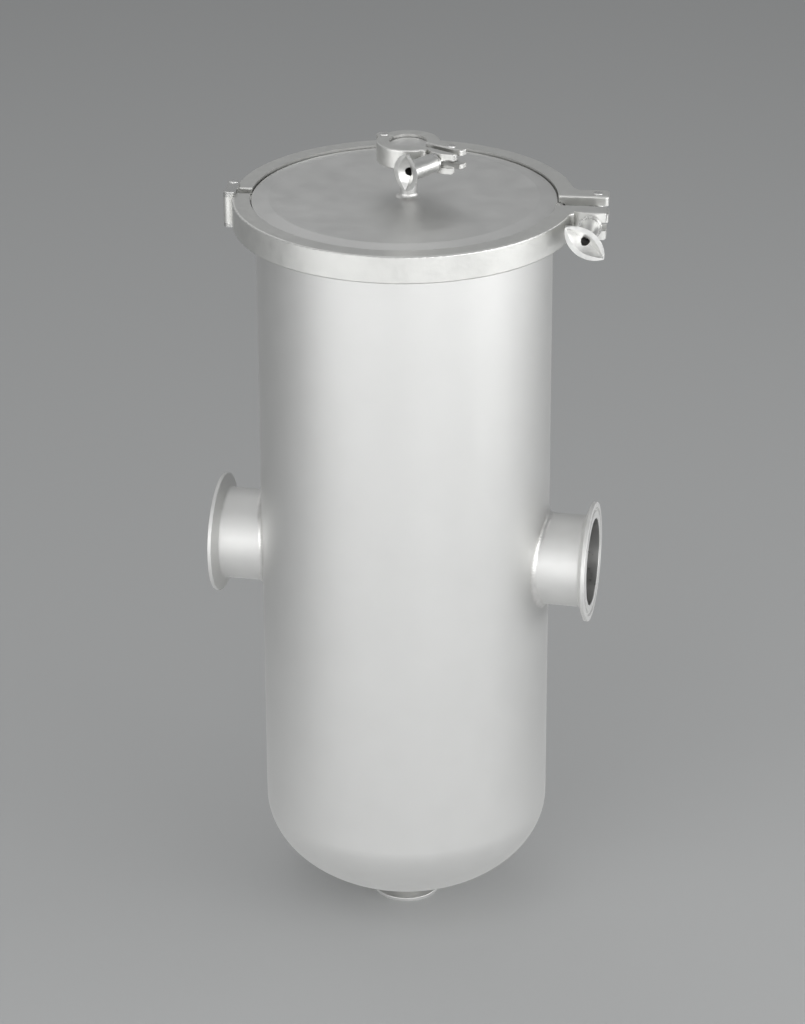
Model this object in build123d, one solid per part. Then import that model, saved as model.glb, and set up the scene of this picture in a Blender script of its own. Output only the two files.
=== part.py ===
from build123d import *
import os
from math import cos, radians, sin, tan

# Steam separator: an upright pressure pot with an inlet on the left, an outlet on the right,
# a drain at the bottom and a lid that a hinged clamp holds. Millimetres, +Z up the vessel,
# +X towards the outlet, origin at the centre of the drain's lower face.

# Vessel
shell_outer_diameter = 219.1
shell_wall = 3.0
head_depth = 72.3
head_tangent_height = 91.3
clamp_plane_height = 574.2
top_ferrule_length = 26.0

# Clamp joints between two ferrules: both rims have the same taper
taper_angle = 20.0
gasket_thickness = 2.0
bead_radius = 1.2
bead_clearance = 0.3

# Lid and the rims under its clamp
lid_rim_overhang = 7.2
lid_rim_edge = 3.15
lid_thickness = 9.43
lid_flat_inset = 17.25
lid_shoulder_drop = 1.9
lid_lip_gap = 1.0
lid_bead_inset = 5.75

# Inlet and outlet
nozzle_height = 300.0
nozzle_stub_length = 13.95
nozzle_tube_diameter = 70.0
nozzle_wall = 2.0
nozzle_rim_diameter = 91.0
nozzle_rim_edge = 2.85
nozzle_ferrule_length = 21.5
nozzle_bead_diameter = 80.0
nozzle_weld = 4.0

# Drain
drain_tube_diameter = 29.0
drain_wall = 1.5
drain_rim_diameter = 50.5
drain_rim_edge = 2.85
drain_bead_diameter = 43.5
drain_weld = 2.5

# Vent on the lid, set a little off its centre
vent_offset = 3.2
vent_plane_above_lid = 35.4
vent_tube_diameter = 13.0
vent_wall = 1.5
vent_rim_diameter = 34.0
vent_rim_edge = 2.85
vent_ferrule_length = 21.5
vent_cap_thickness = 4.1
vent_bead_diameter = 27.5
vent_weld = 3.0

# Pieces inside the vessel
baffle_thickness = 2.5
baffle_top_clearance = 60.0
baffle_below_nozzle = 70.0
baffle_edge_gap = 6.0
bracket_thickness = 3.0
bracket_height = 30.0
bracket_arm = 16.0
deflector_radius = 46.0
deflector_wall = 2.0
deflector_above = 55.0
deflector_below = 45.0
breaker_span = 56.0
breaker_height = 26.0
breaker_thickness = 2.5
breaker_mouth = 9.0
breaker_foot_gap = 3.0

weld_gap = 0.2

shell_radius = shell_outer_diameter / 2
bore_radius = shell_radius - shell_wall
lid_rim_diameter = shell_outer_diameter + 2 * lid_rim_overhang
lid_flat_diameter = lid_rim_diameter - 2 * lid_flat_inset
lid_bead_diameter = lid_rim_diameter - 2 * lid_bead_inset
nozzle_reach = shell_radius + nozzle_stub_length + nozzle_ferrule_length
taper = tan(radians(taper_angle))
half_gasket = gasket_thickness / 2
vent_plane_height = clamp_plane_height + half_gasket + lid_thickness + vent_plane_above_lid


class ClampSizes:
    """Sizes of one hinged clamp, in its own frame: origin at the ring's centre, +X to the bolt."""

    def __init__(self, **sizes):
        self.__dict__.update(sizes)
        self.outer_radius = self.rim_radius + self.ring_depth
        self.lip_radius = self.rim_radius - self.lip_overlap
        self.lug_end = self.outer_radius + self.lug_reach
        self.bolt_pin = (self.outer_radius + self.bolt_reach, self.bolt_offset)
        hinge_x = -self.outer_radius - self.hinge_reach
        sides = (1, -1) if self.hinge_spread > 0 else (0,)
        self.hinge_pins = [(hinge_x, side * self.hinge_spread) for side in sides]


lid_clamp = ClampSizes(
    angle=5.5,
    centre=(0.0, 0.0, clamp_plane_height),
    rim_radius=lid_rim_diameter / 2,
    ring_depth=9.55,
    lip_overlap=3.45,
    height=20.86,
    rim_edge=lid_rim_edge,
    rim_clearance=1.5,
    taper_clearance=0.3,
    edge_round=1.2,
    hinge_gap=11.0,
    bolt_gap=19.0,
    lug_thickness=15.5,
    lug_reach=23.3,
    lug_corner=2.5,
    lug_root_round=7.0,
    slot=6.8,
    pin_radius=2.5,
    bolt_reach=15.0,
    bolt_offset=17.0,
    eye_radius=6.4,
    bolt_diameter=6.0,
    lean=4.0,
    washer_radius=8.6,
    washer_thickness=1.8,
    nut_hub_radius=6.9,
    nut_length=33.0,
    wing_length=36.5,
    wing_beam=21.0,
    wing_wall=2.7,
    wing_slope=45.0,
    wing_roll=-38.0,
    hinge_reach=1.3,
    hinge_spread=11.0,
    knuckle_radius=4.6,
    link_thickness=2.4,
)

vent_clamp = ClampSizes(
    angle=-25.0,
    centre=(vent_offset, 0.0, vent_plane_height),
    rim_radius=vent_rim_diameter / 2,
    ring_depth=6.3,
    lip_overlap=3.2,
    height=15.0,
    rim_edge=vent_rim_edge,
    rim_clearance=0.9,
    taper_clearance=0.3,
    edge_round=1.0,
    hinge_gap=0.8,
    bolt_gap=7.0,
    lug_thickness=7.6,
    lug_reach=21.7,
    lug_corner=2.0,
    lug_root_round=4.0,
    slot=6.6,
    pin_radius=2.0,
    bolt_reach=10.2,
    bolt_offset=7.3,
    eye_radius=5.0,
    bolt_diameter=6.0,
    lean=6.0,
    washer_radius=6.8,
    washer_thickness=1.4,
    nut_hub_radius=7.2,
    nut_length=29.0,
    wing_length=28.0,
    wing_beam=23.0,
    wing_wall=2.4,
    wing_slope=34.0,
    wing_roll=88.0,
    hinge_reach=-1.3,
    hinge_spread=0.0,
    knuckle_radius=5.6,
)

bearing_gap = 0.3
running_gap = 0.15
pin_head_height = 0.9
pin_head_extra = 1.2
shank_recess = 6.0
wing_tip_round = 1.6
keel_rise_share = 0.6

lid_top = clamp_plane_height + half_gasket + lid_thickness

os.makedirs("parts", exist_ok=True)


def save(shape, node):
    """Writes one piece, or one group of identical pieces, to its own file."""
    export_step(shape, "parts/" + node + ".step")


def turned(points):
    """A solid turned about Z from the (radius, height) corners of its half section."""
    return revolve(Plane.XZ * Polygon(*points, align=None), axis=Axis.Z)


def disc(radius, low, high):
    """A plain cylinder about Z between two heights."""
    return Pos(0, 0, low) * Cylinder(radius, high - low, align=(Align.CENTER, Align.CENTER, Align.MIN))


def block(low, high):
    """A box between two opposite corners."""
    size = [b - a for a, b in zip(low, high)]
    return Pos(*low) * Box(*size, align=Align.MIN)


def near(edges, point, count=1):
    """The edges whose middles lie nearest to a point."""
    target = Vector(*point)
    return sorted(edges, key=lambda edge: (edge.center() - target).length)[:count]


def bead_ring(diameter, radius):
    """The round rib of a clamp gasket, or the groove that takes it, at height 0."""
    return Torus(diameter / 2, radius)


def ferrule(rim_diameter, rim_edge, tube_diameter, wall, length, bead_diameter):
    """A clamp ferrule with its sealing face at height 0 and its tube end at -length."""
    rim, tube = rim_diameter / 2, tube_diameter / 2
    body = turned([
        (tube - wall, 0),
        (rim, 0),
        (rim, -rim_edge),
        (tube, -rim_edge - (rim - tube) * taper),
        (tube, -length),
        (tube - wall, -length),
    ])
    return body - bead_ring(bead_diameter, bead_radius + bead_clearance)


def gasket(bore_diameter, rim_diameter, bead_diameter):
    """A flat ring with a round rib on both faces, centred on height 0."""
    flat = disc(rim_diameter / 2, -half_gasket, half_gasket)
    flat -= disc(bore_diameter / 2, -gasket_thickness, gasket_thickness)
    return flat + bead_ring(bead_diameter, bead_radius)


def blank(rim_diameter, rim_edge, flat_diameter, bead_diameter):
    """A solid cover whose tapered rim faces up, with its sealing face at height 0."""
    rim, flat = rim_diameter / 2, flat_diameter / 2
    top = rim_edge + (rim - flat) * taper
    body = turned([(0, 0), (rim, 0), (rim, rim_edge), (flat, top), (0, top)])
    return body - bead_ring(bead_diameter, bead_radius + bead_clearance)


# Vessel wall

def half_ellipse(radius, depth):
    """The solid inside a dished head, its round edge at height 0 and its crown at -depth."""
    arc = EllipticalCenterArc((0, 0), radius, depth, start_angle=270, arc_size=90)
    outline = Polyline(arc @ 1, (0, 0), arc @ 0)
    return revolve(Plane.XZ * make_face([arc, outline]), axis=Axis.Z)


head_outside = Pos(0, 0, head_tangent_height) * half_ellipse(shell_radius, head_depth)
head_inside = Pos(0, 0, head_tangent_height) * half_ellipse(bore_radius, head_depth - shell_wall)
drain_bore = drain_tube_diameter / 2 - drain_wall
nozzle_bore = nozzle_tube_diameter / 2 - nozzle_wall
shell_top = clamp_plane_height - half_gasket - top_ferrule_length
nozzle_axis = Pos(0, 0, nozzle_height) * Rot(0, 90, 0)

bottom_head = head_outside - head_inside - disc(drain_bore, 0, head_tangent_height)
save(bottom_head, "bottom_head")

shell_tube = disc(shell_radius, head_tangent_height, shell_top)
shell_tube -= disc(bore_radius, head_tangent_height, shell_top)
shell_tube -= nozzle_axis * Cylinder(nozzle_bore, 2 * nozzle_reach)
save(shell_tube, "shell_tube")

top_ferrule = ferrule(
    lid_rim_diameter, lid_rim_edge, shell_outer_diameter, shell_wall, top_ferrule_length,
    lid_bead_diameter,
)
save(Pos(0, 0, clamp_plane_height - half_gasket) * top_ferrule, "top_ferrule")

# Inlet and outlet, each a short tube set on the shell and a ferrule with its weld

shell_core = disc(shell_radius, head_tangent_height, shell_top)
ferrule_start = nozzle_reach - nozzle_ferrule_length


def nozzle_weld_bead():
    """The concave bead round a nozzle: a fillet of shell and tube, less shell and tube."""
    reach = nozzle_tube_diameter / 2 + 4 * nozzle_weld
    shell_piece = disc(shell_radius, nozzle_height - reach, nozzle_height + reach)
    shell_piece &= block(
        (0, -shell_radius, nozzle_height - reach), (nozzle_reach, shell_radius, nozzle_height + reach)
    )
    tube_piece = nozzle_axis * Cylinder(
        nozzle_tube_diameter / 2, ferrule_start, align=(Align.CENTER, Align.CENTER, Align.MIN)
    )
    joined = shell_piece + tube_piece
    foot = (shell_radius, 0, nozzle_height + nozzle_tube_diameter / 2)
    return fillet(near(joined.edges(), foot), nozzle_weld) - joined


def nozzle_tube():
    """The short tube from the shell's outside to the ferrule, along +X."""
    tube = nozzle_axis * Cylinder(
        nozzle_tube_diameter / 2, ferrule_start, align=(Align.CENTER, Align.CENTER, Align.MIN)
    )
    tube -= nozzle_axis * Cylinder(nozzle_bore, 3 * nozzle_reach)
    return tube - shell_core


def nozzle_ferrule():
    """The clamp ferrule at the end of the nozzle, facing +X."""
    face = Pos(nozzle_reach, 0, nozzle_height) * Rot(0, 90, 0)
    return face * ferrule(
        nozzle_rim_diameter, nozzle_rim_edge, nozzle_tube_diameter, nozzle_wall,
        nozzle_ferrule_length, nozzle_bead_diameter,
    )


for side, turn in (("outlet", 0), ("inlet", 180)):
    save(Rot(0, 0, turn) * nozzle_tube(), side + "_tube")
    save(Rot(0, 0, turn) * nozzle_ferrule(), side + "_ferrule")
    save(Rot(0, 0, turn) * nozzle_weld_bead(), side + "_weld")

# Drain, a ferrule set on the crown of the head

drain_length = head_tangent_height - head_depth + drain_wall
drain_ferrule = ferrule(
    drain_rim_diameter, drain_rim_edge, drain_tube_diameter, drain_wall, drain_length,
    drain_bead_diameter,
)
drain_ferrule = Rot(180, 0, 0) * drain_ferrule - head_outside
save(drain_ferrule, "drain_ferrule")

drain_stub = disc(drain_tube_diameter / 2, drain_length / 2, head_tangent_height) + head_outside
drain_foot = (0, drain_tube_diameter / 2, head_tangent_height - head_depth)
save(fillet(near(drain_stub.edges(), drain_foot), drain_weld) - drain_stub, "drain_weld")

# Lid with its gasket, and the capped vent on it

vent_bore = vent_tube_diameter / 2 - vent_wall
at_lid_face = Pos(0, 0, clamp_plane_height + half_gasket)
lid_rim, lid_flat = lid_rim_diameter / 2, lid_flat_diameter / 2
lid_shoulder = lid_clamp.lip_radius - lid_lip_gap
lid = turned([
    (0, 0),
    (lid_rim, 0),
    (lid_rim, lid_rim_edge),
    (lid_shoulder, lid_rim_edge + (lid_rim - lid_shoulder) * taper),
    (lid_shoulder, lid_thickness - lid_shoulder_drop),
    (lid_flat, lid_thickness),
    (0, lid_thickness),
])
lid = at_lid_face * (lid - bead_ring(lid_bead_diameter, bead_radius + bead_clearance))
lid -= Pos(vent_offset, 0, 0) * disc(vent_bore, clamp_plane_height, lid_top)
save(lid, "lid")

lid_gasket = gasket(2 * bore_radius, lid_rim_diameter - 1, lid_bead_diameter)
save(Pos(0, 0, clamp_plane_height) * lid_gasket, "lid_gasket")

vent_face = vent_plane_height - half_gasket
vent_tube_top = vent_face - vent_ferrule_length
vent_tube = disc(vent_tube_diameter / 2, lid_top, vent_tube_top)
vent_tube -= disc(vent_bore, lid_top, vent_tube_top)
save(Pos(vent_offset, 0, 0) * vent_tube, "vent_tube")

vent_bead_foot = vent_tube_diameter / 2
vent_bead = turned([
    (vent_bead_foot, lid_top),
    (vent_bead_foot + vent_weld, lid_top),
    (vent_bead_foot, lid_top + vent_weld),
])
save(Pos(vent_offset, 0, 0) * vent_bead, "vent_weld")

vent_ferrule = ferrule(
    vent_rim_diameter, vent_rim_edge, vent_tube_diameter, vent_wall, vent_ferrule_length,
    vent_bead_diameter,
)
save(Pos(vent_offset, 0, vent_face) * vent_ferrule, "vent_ferrule")

vent_gasket = gasket(vent_tube_diameter - 2 * vent_wall, vent_rim_diameter - 0.6, vent_bead_diameter)
save(Pos(vent_offset, 0, vent_plane_height) * vent_gasket, "vent_gasket")

cap_flat = vent_rim_diameter - 2 * (vent_cap_thickness - vent_rim_edge) / taper
vent_cap = blank(vent_rim_diameter, vent_rim_edge, cap_flat, vent_bead_diameter)
save(Pos(vent_offset, 0, vent_plane_height + half_gasket) * vent_cap, "vent_cap")

# Inside: a partition between inlet and outlet, a deflector that throws the water down,
# clips that carry the partition, and a cross over the drain that stops a whirl

baffle_low = nozzle_height - baffle_below_nozzle
baffle_high = clamp_plane_height - baffle_top_clearance
baffle_half_width = bore_radius - baffle_edge_gap
save(
    block(
        (-baffle_thickness / 2, -baffle_half_width, baffle_low),
        (baffle_thickness / 2, baffle_half_width, baffle_high),
    ),
    "baffle_plate",
)


def bracket(height, side):
    """An angle clip: one leg flat on the partition, the other reaching to the shell's wall."""
    foot = bracket_thickness + baffle_thickness / 2
    legs = block(
        (baffle_thickness / 2, baffle_half_width - bracket_arm, height),
        (foot, baffle_half_width, height + bracket_height),
    )
    legs += block(
        (baffle_thickness / 2, baffle_half_width - bracket_thickness, height),
        (foot + bracket_arm, bore_radius, height + bracket_height),
    )
    legs &= disc(bore_radius - weld_gap, height, height + bracket_height)
    return legs if side > 0 else mirror(legs, Plane.XZ)


bracket_heights = (baffle_low + bracket_height, baffle_high - 2 * bracket_height)
brackets = [bracket(height, side) for height in bracket_heights for side in (-1, 1)]
save(Compound(brackets), "baffle_brackets")

deflector = disc(deflector_radius, nozzle_height - deflector_below, nozzle_height + deflector_above)
deflector -= disc(deflector_radius - deflector_wall, nozzle_height - deflector_below, baffle_high)
deflector += disc(
    deflector_radius, nozzle_height + deflector_above - deflector_wall,
    nozzle_height + deflector_above,
)
deflector &= block(
    (-shell_radius, -shell_radius, 0), (-baffle_thickness / 2, shell_radius, baffle_high)
)
save(deflector, "inlet_deflector")

breaker_low = head_tangent_height - head_depth
breaker = block(
    (-breaker_span / 2, -breaker_thickness / 2, breaker_low),
    (breaker_span / 2, breaker_thickness / 2, breaker_low + shell_wall + breaker_height),
)
breaker += Rot(0, 0, 90) * breaker
breaker &= Pos(0, 0, weld_gap) * head_inside
breaker -= disc(drain_bore + breaker_foot_gap, 0, breaker_low + shell_wall + breaker_mouth)
save(breaker, "vortex_breaker")


# Hinged clamps

def clamp_groove(c):
    """The V groove inside a clamp ring, turned to the taper of the two rims it holds."""
    def flank(radius):
        rim_half = half_gasket + c.rim_edge + (c.rim_radius - radius) * taper
        return rim_half + c.taper_clearance / cos(radians(taper_angle))

    groove_radius = c.rim_radius + c.rim_clearance
    inside = c.lip_radius - c.rim_clearance
    return turned([
        (inside, -flank(inside)),
        (groove_radius, -flank(groove_radius)),
        (groove_radius, flank(groove_radius)),
        (inside, flank(inside)),
    ])


def outer_edges(solid, c):
    """The edges of the upper and lower faces, apart from the lip's."""
    levels = solid.edges().filter_by_position(Axis.Z, -c.height, 1 - c.height / 2)
    levels += solid.edges().filter_by_position(Axis.Z, c.height / 2 - 1, c.height)
    return [edge for edge in levels if Vector(edge.center().X, edge.center().Y).length > c.lip_radius + 1]


def clamp_blank(c, side):
    """One half of the ring with its bolt lug and hinge end, before holes: side is +1 or -1."""
    half = c.height / 2
    lug_low, lug_high = c.bolt_gap / 2, c.bolt_gap / 2 + c.lug_thickness
    ring = Circle(c.outer_radius)
    lug = Pos(c.lug_end / 2, (lug_low + lug_high) / 2) * Rectangle(c.lug_end, c.lug_thickness)
    plan = ring + lug
    reach = 2 * c.lug_end
    hinge_x, hinge_y = c.hinge_pins[0]
    knuckle = Pos(hinge_x, abs(hinge_y)) * Circle(c.knuckle_radius)
    plan -= Circle(c.lip_radius)
    plan -= Pos(-reach / 2, c.hinge_gap / 2 - reach / 2) * Rectangle(reach, reach)
    plan -= Pos(reach / 2, c.bolt_gap / 2 - reach / 2) * Rectangle(reach, reach)
    solid = extrude(plan, half, both=True)
    root = ((c.outer_radius ** 2 - lug_high ** 2) ** 0.5, lug_high, 0)
    solid = fillet(near(solid.edges().filter_by(Axis.Z), root), c.lug_root_round)
    corners = ((c.lug_end, lug_low, 0), (c.lug_end, lug_high, 0))
    ends = [near(solid.edges().filter_by(Axis.Z), corner)[0] for corner in corners]
    solid = fillet(ends, c.lug_corner)
    solid = fillet(outer_edges(solid, c), c.edge_round)
    solid += extrude(knuckle, half, both=True)
    solid -= Cylinder(c.lip_radius, c.height)
    solid -= clamp_groove(c)
    return solid if side > 0 else mirror(solid, Plane.XZ)


def bolt_slot(c, inner):
    """The gap between the two prongs of a lug, open at its end."""
    return block((inner, -c.lug_end, -c.slot / 2), (2 * c.lug_end, c.lug_end, c.slot / 2))


def bearing_radius(c):
    """Distance from the bolt's pin to the face that the washer bears on."""
    return c.bolt_pin[1] + c.bolt_gap / 2 + c.lug_thickness


def pin_bore(c, at, radius):
    """A hole for a pin, right through the clamp."""
    return Pos(at[0], at[1], 0) * Cylinder(radius, 3 * c.height)


def rear_half(c):
    """The half that carries the bolt's pin."""
    solid = clamp_blank(c, 1)
    solid -= bolt_slot(c, c.bolt_pin[0] - c.eye_radius - 2 * running_gap)
    solid -= pin_bore(c, c.bolt_pin, c.pin_radius + running_gap)
    return solid - pin_bore(c, c.hinge_pins[0], c.pin_radius + running_gap)


def front_half(c):
    """The half that the bolt pulls in: its bearing face is round about the bolt's pin."""
    solid = clamp_blank(c, -1)
    lean_shift = bearing_radius(c) * tan(radians(c.lean))
    solid -= bolt_slot(c, c.bolt_pin[0] - c.bolt_diameter / 2 - lean_shift - 1)
    radius = bearing_radius(c)
    beyond = block(
        (c.outer_radius, -2 * c.lug_end, -c.height), (2 * c.lug_end, -c.bolt_gap, c.height)
    )
    solid -= beyond - Pos(*c.bolt_pin, 0) * Cylinder(radius, 2 * c.height)
    return solid - pin_bore(c, c.hinge_pins[-1], c.pin_radius + running_gap)


def headed_pin(radius, low, high):
    """A riveted pin: its shank from low to high, with a low round head beyond each end."""
    pin = disc(radius, low, high)
    for end in (low - pin_head_height, high):
        pin += disc(radius + pin_head_extra, end, end + pin_head_height)
    return pin


def bolt_frame(c, distance, roll=0.0):
    """A plane across the leaning bolt, facing outwards, at a distance from the bolt's pin."""
    lean, turn = radians(c.lean), radians(roll)
    outward = Vector(-sin(lean), -cos(lean), 0)
    across = Vector(cos(lean), -sin(lean), 0)
    origin = Vector(c.bolt_pin[0], c.bolt_pin[1], 0) + outward * distance
    long_way = across * cos(turn) + Vector(0, 0, 1) * sin(turn)
    return Plane(origin=origin, x_dir=long_way, z_dir=outward)


def washer_start(c):
    """Distance from the bolt's pin to the washer's inner face."""
    return bearing_radius(c) + bearing_gap


def nut_start(c):
    """Distance from the bolt's pin to the nut's inner face."""
    return washer_start(c) + c.washer_thickness + bearing_gap / 2


def swing_bolt(c):
    """An eye on the bolt's pin with a round shank that ends inside the nut."""
    eye = Pos(c.bolt_pin[0], c.bolt_pin[1], 0) * Cylinder(c.eye_radius, c.slot - 2 * running_gap)
    length = nut_start(c) + c.nut_length - wing_depth(c) - shank_recess
    shank = bolt_frame(c, 0) * disc(c.bolt_diameter / 2, 0, length)
    return eye + shank - pin_bore(c, c.bolt_pin, c.pin_radius + running_gap)


def washer(c):
    """A round washer on the bolt."""
    ring = disc(c.washer_radius, 0, c.washer_thickness)
    ring -= disc(c.bolt_diameter / 2 + running_gap, 0, c.washer_thickness)
    return bolt_frame(c, washer_start(c)) * ring


def leaf(length, beam, low, high):
    """A prism whose plan is a leaf: two arcs that meet in a rounded tip at either end."""
    ends = (-length / 2, 0), (length / 2, 0)
    arcs = [ThreePointArc(ends[0], (0, side * beam / 2), ends[1]) for side in (1, -1)]
    plan = make_face(arcs)
    plan = fillet(plan.vertices(), wing_tip_round)
    return Pos(0, 0, low) * extrude(plan, high - low)


def wing_depth(c):
    """Distance along the bolt from the wings' rim to their keel."""
    return c.wing_beam / 2 * tan(radians(c.wing_slope))


def wings(c):
    """The nut's two wings: a boat of V section whose keel is an arc that rises to both tips."""
    slope = radians(c.wing_slope)
    rim, depth = c.nut_length, wing_depth(c)
    bottom, rise = rim - depth, keel_rise_share * depth
    keel_radius = ((c.wing_length / 2) ** 2 + rise ** 2) / (2 * rise)
    side = c.wing_wall / cos(slope)
    half = c.wing_beam / 2 + side
    top = bottom + half * tan(slope)
    turning_axis = Axis((0, 0, bottom + keel_radius), (0, 1, 0))
    hull = Polygon((half, top), (0, bottom), (-half, top), align=None)
    outside = revolve(Plane.YZ * hull, axis=turning_axis)
    inside = revolve(Plane.YZ * Pos(0, side) * hull, axis=turning_axis)
    return outside & leaf(c.wing_length, c.wing_beam, bottom - 1, rim), inside


def wing_nut(c):
    """A cast wing nut: a hub that opens into two wings with a V valley between them."""
    hull, valley = wings(c)
    hub_top = c.nut_length - wing_depth(c) + c.nut_hub_radius * tan(radians(c.wing_slope))
    nut = disc(c.nut_hub_radius, 0, hub_top)
    nut = chamfer(near(nut.edges(), (0, 0, 0)), 0.8)
    nut = nut + hull - valley
    nut -= disc(c.bolt_diameter / 2 + running_gap, 0, c.nut_length)
    return bolt_frame(c, nut_start(c), c.wing_roll) * nut


def hinge_link(c):
    """One flat link over both hinge pins, above or below the ring."""
    (x, y), _ = c.hinge_pins
    plate = Pos(x, 0) * SlotCenterToCenter(2 * y, 2 * c.knuckle_radius, rotation=90)
    for pin_x, pin_y in c.hinge_pins:
        plate -= Pos(pin_x, pin_y) * Circle(c.pin_radius + running_gap)
    return extrude(plate, c.link_thickness)


def place(c, shape):
    """Moves a piece from the clamp's frame to its place on the separator."""
    return Pos(*c.centre) * Rot(0, 0, c.angle) * shape


for name, c in (("lid_clamp", lid_clamp), ("vent_clamp", vent_clamp)):
    half = c.height / 2
    save(place(c, swing_bolt(c)), name + "_swing_bolt")
    save(place(c, washer(c)), name + "_washer")
    save(place(c, wing_nut(c)), name + "_wing_nut")
    bolt_pin = Pos(*c.bolt_pin, 0) * headed_pin(c.pin_radius, -half, half)
    save(place(c, bolt_pin), name + "_bolt_pin")

save(place(lid_clamp, rear_half(lid_clamp)), "lid_clamp_rear_half")
save(place(lid_clamp, front_half(lid_clamp)), "lid_clamp_front_half")
link_low = lid_clamp.height / 2 + running_gap
link_high = link_low + lid_clamp.link_thickness
upper_link = Pos(0, 0, link_low) * hinge_link(lid_clamp)
save(place(lid_clamp, upper_link), "lid_clamp_upper_link")
save(place(lid_clamp, mirror(upper_link, Plane.XY)), "lid_clamp_lower_link")
for name, at in zip(("rear", "front"), lid_clamp.hinge_pins):
    pin = Pos(*at, 0) * headed_pin(lid_clamp.pin_radius, -link_high, link_high)
    save(place(lid_clamp, pin), "lid_clamp_" + name + "_hinge_pin")

# The vent clamp turns on one pin: the front half's knuckle sits between the rear half's two


def hinge_room(c, share, clearance):
    """The space round a hinge pin over the middle share of the clamp's height."""
    radius = c.knuckle_radius + clearance
    return Pos(*c.hinge_pins[0], 0) * Cylinder(radius, c.height * share + 2 * clearance)


middle = 1 / 3
vent_rear = rear_half(vent_clamp) - hinge_room(vent_clamp, middle, running_gap)
vent_front = front_half(vent_clamp) - (
    hinge_room(vent_clamp, 2, running_gap)
    - Pos(*vent_clamp.hinge_pins[0], 0) * Cylinder(vent_clamp.outer_radius, vent_clamp.height * middle)
)
vent_pin = headed_pin(vent_clamp.pin_radius, -vent_clamp.height / 2, vent_clamp.height / 2)
save(place(vent_clamp, vent_rear), "vent_clamp_rear_half")
save(place(vent_clamp, vent_front), "vent_clamp_front_half")
save(place(vent_clamp, Pos(*vent_clamp.hinge_pins[0], 0) * vent_pin), "vent_clamp_hinge_pin")
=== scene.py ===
# %% [markdown]
# # A steam separator in satin stainless steel
# The object is an upright pressure pot about 63 cm high. Steam comes in on the left, drops its
# water inside and leaves on the right. A lid is held on by a hinged clamp with a wing nut, and a
# small capped vent on the lid is held by a clamp of the same kind.
#
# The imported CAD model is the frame: every piece made here rides on one of its bodies, so the
# clamps still open. Most pieces are surfaces worked out with numpy, and replace a CAD solid that
# has the same size. Castings whose CAD form is already right keep it and get a better finish.

import bpy
import numpy as np
from mathutils import Matrix


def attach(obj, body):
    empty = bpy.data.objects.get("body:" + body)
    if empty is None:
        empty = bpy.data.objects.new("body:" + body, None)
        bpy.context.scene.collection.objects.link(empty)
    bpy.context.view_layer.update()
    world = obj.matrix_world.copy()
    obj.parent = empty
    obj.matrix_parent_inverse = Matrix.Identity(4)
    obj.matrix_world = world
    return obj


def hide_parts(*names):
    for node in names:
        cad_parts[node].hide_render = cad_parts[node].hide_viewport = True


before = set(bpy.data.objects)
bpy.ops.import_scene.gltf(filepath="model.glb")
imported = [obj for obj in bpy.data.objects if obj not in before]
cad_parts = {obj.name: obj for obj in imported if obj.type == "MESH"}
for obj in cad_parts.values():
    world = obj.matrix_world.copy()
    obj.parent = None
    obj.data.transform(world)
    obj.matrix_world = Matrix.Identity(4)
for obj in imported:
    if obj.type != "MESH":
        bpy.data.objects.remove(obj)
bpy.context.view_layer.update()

scene = bpy.context.scene
scene.view_settings.view_transform = "Standard"
MM = 0.001

# %% [markdown]
# ## The camera
# The camera stands where the photographer's stood: about 2.7 m away, looking down by 25 degrees,
# with a long lens, so the upright sides hardly converge. Its three axes are worked out from the
# compass direction, the downward tilt and the small roll, and are the columns of its matrix.

# %% Camera
focal_length_pixels = 3706.154
photo_long_side_pixels = 1024
camera_place = (0.50687, -2.51196, 1.51637)
camera_azimuth, camera_tilt, camera_roll = np.radians([11.457, 24.864, -0.251])


def camera_axes(azimuth, tilt, roll):
    """Right, up and forward unit vectors of a camera that looks along +Y before it is turned."""
    level_right = np.array([np.cos(azimuth), np.sin(azimuth), 0.0])
    forward = np.array([
        -np.sin(azimuth) * np.cos(tilt), np.cos(azimuth) * np.cos(tilt), -np.sin(tilt)
    ])
    level_up = np.cross(level_right, forward)
    right = level_right * np.cos(roll) + level_up * np.sin(roll)
    return right, np.cross(right, forward), forward


right, up, forward = camera_axes(camera_azimuth, camera_tilt, camera_roll)
camera_data = bpy.data.cameras.new("studio_camera")
camera_data.sensor_width = 36.0
camera_data.lens = focal_length_pixels / photo_long_side_pixels * camera_data.sensor_width
camera = bpy.data.objects.new("studio_camera", camera_data)
scene.collection.objects.link(camera)
turn = Matrix(np.column_stack([right, up, -forward]).tolist()).to_4x4()
camera.matrix_world = Matrix.Translation(camera_place) @ turn
scene.camera = camera
print("lens in mm:", round(camera_data.lens, 2))

# %% [markdown]
# ## Soft boxes
# Satin steel shows what stands around it as wide blurred bands: an upright wall, seen from above,
# sends back what stands low around it. So the boxes stand low, in an arc from the far left to the
# far right. The strongest is at the right, and gives the bright band near the right edge. Hardly
# anything stands behind, so both edges fall to the tone of the backdrop. Weaker boxes higher up
# light the lid and the tops of the tubes.

# %% Soft boxes
object_middle = np.array([0.0, 0.0, 0.32])
low_height, low_distance, low_size = 5.0, 2.6, 1.4
high_distance = 2.5
# Azimuth in degrees and power in watts
low_boxes = [(-72, 2.6), (-42, 16.0), (-12, 15.0), (24, 16.0), (52, 10.6), (80, 23.0), (112, 13.0)]
# Name, azimuth and height in degrees, size in metres and power in watts
high_boxes = [("front_right", 52.0, 28.0, 1.4, 5.5), ("front_left", -12.0, 50.0, 1.4, 6.0),
              ("above", 190.0, 72.0, 1.8, 7.0), ("behind_left", 230.0, 40.0, 1.6, 2.7)]


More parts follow.
